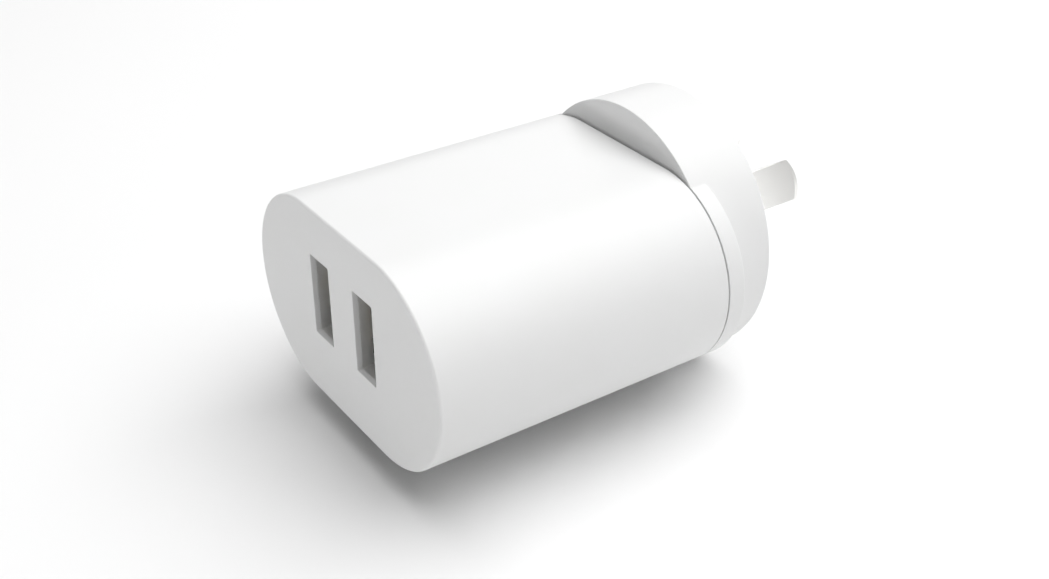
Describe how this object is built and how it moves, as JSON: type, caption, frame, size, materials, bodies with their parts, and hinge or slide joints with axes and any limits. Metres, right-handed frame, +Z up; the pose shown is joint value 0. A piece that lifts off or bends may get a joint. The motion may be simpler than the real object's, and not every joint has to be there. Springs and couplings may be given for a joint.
{
  "type": "usb wall charger",
  "caption": "Mains wall charger with two upright USB-A sockets in a stadium-section case and two slanted flat plug blades on a round rear drum.",
  "frame": {"origin": "centre of the wall face, the flat back of the round drum", "axes": "+Y points into the wall along the plug blades, +Z is up, and the USB sockets open towards -Y"},
  "size_m": [0.05, 0.0766, 0.0414],
  "materials": {
    "white_plastic": "satin moulded, fine even texture",
    "pin_plating": "nickel plated, satin",
    "sleeve_plastic": "matte moulded",
    "shell_steel": "tin plated, bright rolled",
    "connector_plastic": "grey glass-filled, satin",
    "contact_gold": "gold flashed",
    "spring_bronze": "rolled phosphor bronze",
    "board_green": "solder mask on glass epoxy",
    "ferrite": "sintered, matte",
    "bobbin_plastic": "moulded",
    "copper_wire": "enamelled copper",
    "yellow_tape": "polyester film",
    "tinned_lead": "tinned copper",
    "black_sleeve": "shrunk film",
    "capacitor_can": "drawn can",
    "blue_coating": "dipped epoxy",
    "yellow_coating": "dipped epoxy",
    "resistor_coating": "cement coating",
    "chip_plastic": "moulded epoxy",
    "chip_ceramic": "fired"
  },
  "bodies": {
    "charger": {"front_housing": "white_plastic", "rear_cover": "white_plastic", "wall_plate": "white_plastic", "active_pin": "pin_plating", "neutral_pin": "pin_plating", "active_pin_sleeve": "sleeve_plastic", "neutral_pin_sleeve": "sleeve_plastic", "active_contact_spring": "spring_bronze", "neutral_contact_spring": "spring_bronze", "main_board": "board_green", "left_usb_shell": "shell_steel", "right_usb_shell": "shell_steel", "left_usb_insulator": "connector_plastic", "right_usb_insulator": "connector_plastic", "left_usb_terminals": "contact_gold", "right_usb_terminals": "contact_gold", "transformer_core_front": "ferrite", "transformer_core_rear": "ferrite", "transformer_bobbin": "bobbin_plastic", "transformer_winding": "copper_wire", "winding_tape": "yellow_tape", "core_tape": "yellow_tape", "transformer_pins": "tinned_lead", "left_bulk_capacitor": "black_sleeve", "right_bulk_capacitor": "black_sleeve", "left_output_capacitor": "capacitor_can", "right_output_capacitor": "capacitor_can", "y_capacitor": "blue_coating", "optocoupler": "chip_plastic", "fusible_resistor": "resistor_coating", "varistor": "yellow_coating", "choke_core": "ferrite", "choke_winding": "copper_wire", "bridge_rectifier": "chip_plastic", "switching_controller": "chip_plastic", "sync_rectifier": "chip_plastic", "charge_controller": "chip_plastic", "snubber_diode": "chip_plastic", "chip_resistors": "chip_plastic", "chip_capacitors": "chip_ceramic"},
    "left_contacts": {"left_usb_contacts": "contact_gold"},
    "right_contacts": {"right_usb_contacts": "contact_gold"}
  },
  "joints": [
    {"name": "left_contact_flex", "type": "hinge", "parent": "charger", "child": "left_contacts", "pos_m": [-0.00564, -0.0468, 0.0015], "axis": [0, 0, 1], "range_deg": [0, 3], "stiffness_Nm_per_rad": 0.27},
    {"name": "right_contact_flex", "type": "hinge", "parent": "charger", "child": "right_contacts", "pos_m": [0.00626, -0.0468, 0.0015], "axis": [0, 0, 1], "range_deg": [0, 3], "stiffness_Nm_per_rad": 0.27}
  ]
}
